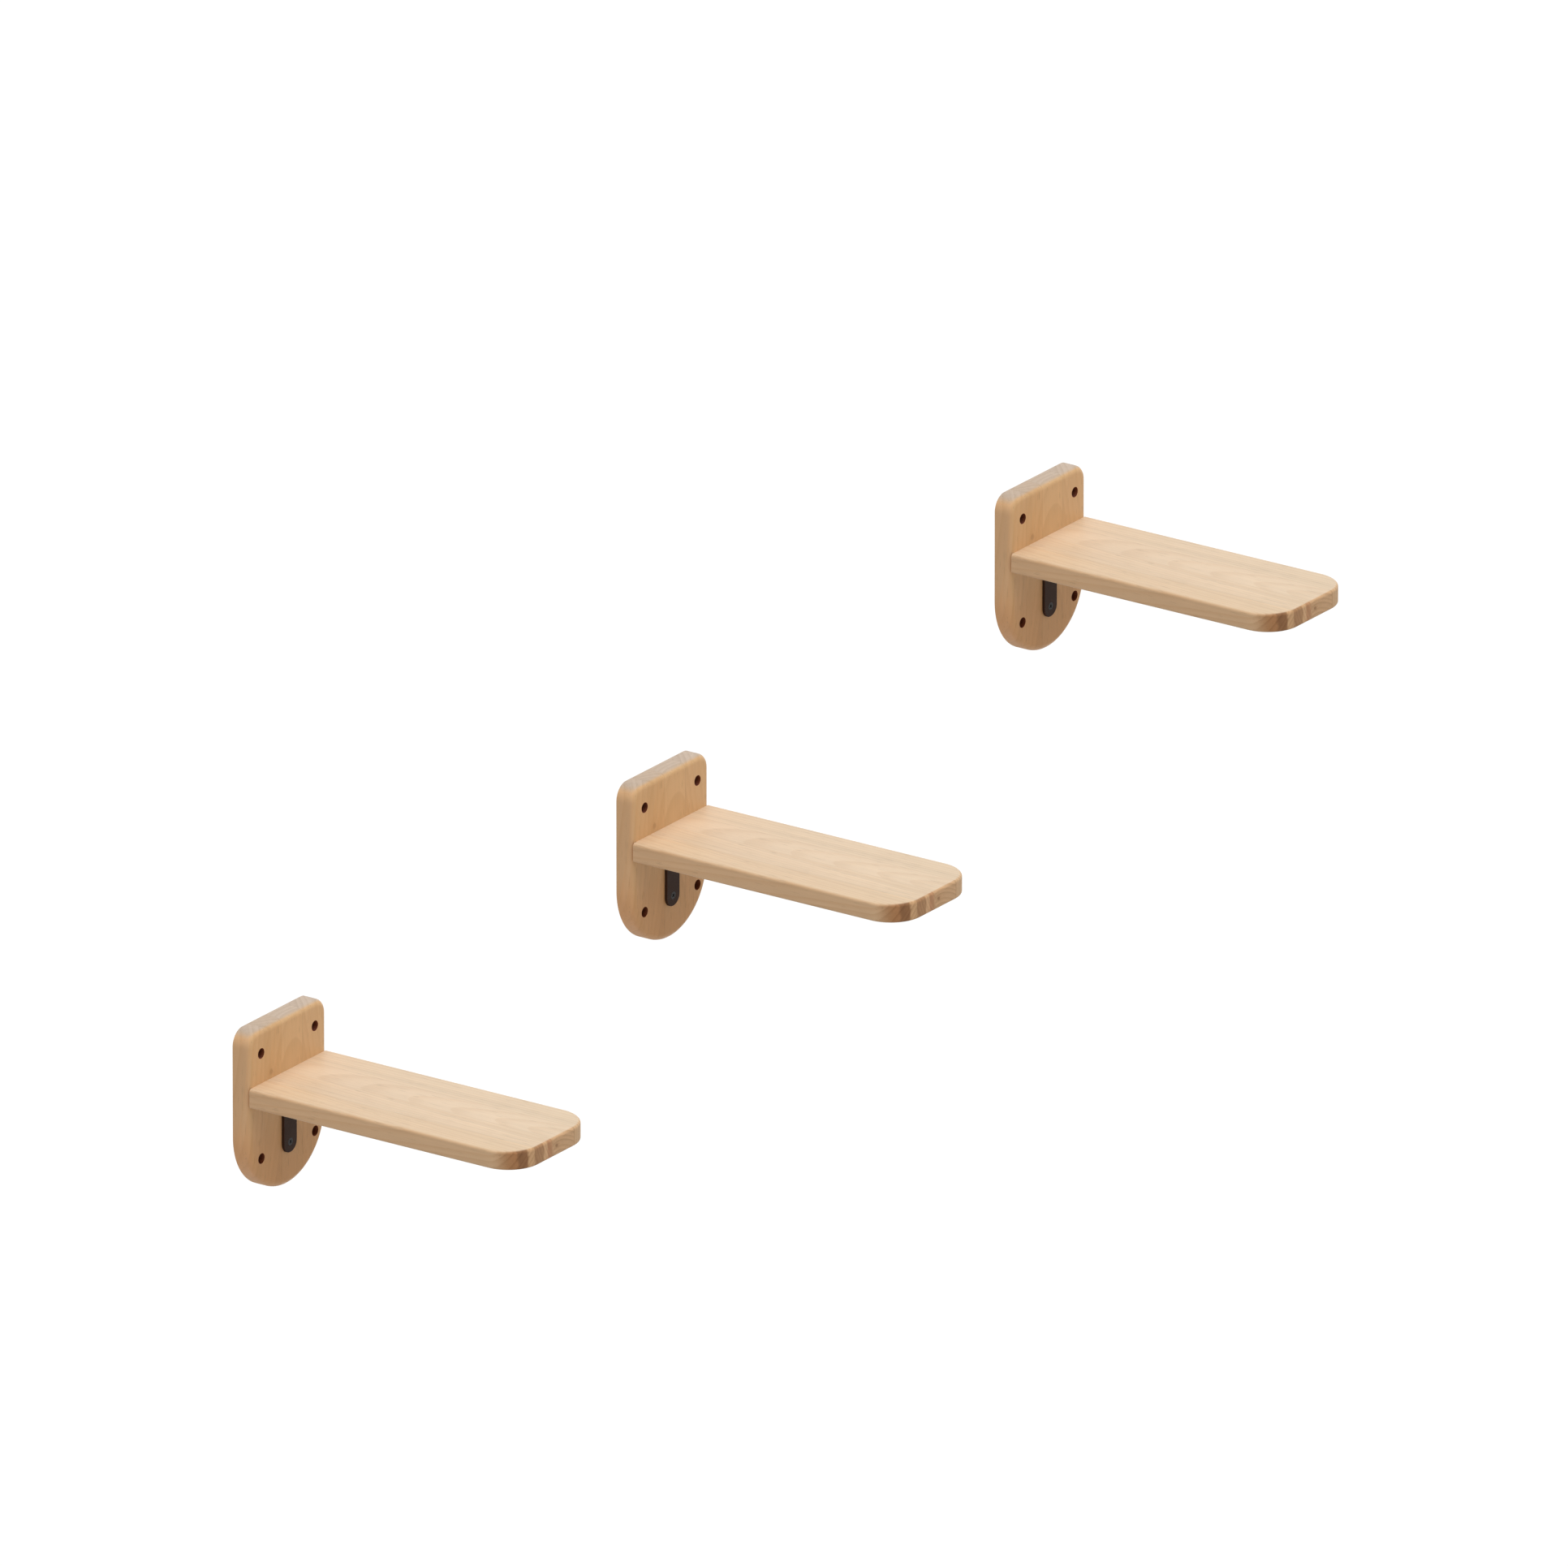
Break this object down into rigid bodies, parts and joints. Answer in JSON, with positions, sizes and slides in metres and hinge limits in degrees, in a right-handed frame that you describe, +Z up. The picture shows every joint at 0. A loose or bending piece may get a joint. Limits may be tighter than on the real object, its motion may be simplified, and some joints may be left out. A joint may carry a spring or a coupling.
{
  "type": "wall mounted cat tree",
  "caption": "Set of pine wall steps for a cat, each an upright wall plate with a rounded foot, a plank standing out from it and a black steel angle bracket under the plank.",
  "frame": {"origin": "middle of the middle step's four wall screw holes, on the wall plane", "axes": "+X along the wall to the right as seen from the room, +Y into the wall, +Z up"},
  "size_m": [1.315, 0.308, 0.298],
  "materials": {
    "plate_pine": "pale pine panel with upright grain, sanded and clear oiled",
    "plank_pine": "pale pine panel of glued staves with the grain along the plank, sanded and clear oiled",
    "bracket_black": "black powder coated steel",
    "black_screw": "black oxide steel screw",
    "zinc_screw": "yellow zinc plated steel screw",
    "dowel_beech": "bare beech"
  },
  "bodies": {
    "root": {"lower_wall_plate": "plate_pine", "lower_step_plank": "plank_pine", "lower_angle_bracket": "bracket_black", "lower_bracket_plate_screws": "black_screw", "lower_bracket_plank_screws": "black_screw", "lower_plank_screws": "zinc_screw", "lower_plank_dowels": "dowel_beech", "middle_wall_plate": "plate_pine", "middle_step_plank": "plank_pine", "middle_angle_bracket": "bracket_black", "middle_bracket_plate_screws": "black_screw", "middle_bracket_plank_screws": "black_screw", "middle_plank_screws": "zinc_screw", "middle_plank_dowels": "dowel_beech", "upper_wall_plate": "plate_pine", "upper_step_plank": "plank_pine", "upper_angle_bracket": "bracket_black", "upper_bracket_plate_screws": "black_screw", "upper_bracket_plank_screws": "black_screw", "upper_plank_screws": "zinc_screw", "upper_plank_dowels": "dowel_beech"}
  },
  "joints": []
}
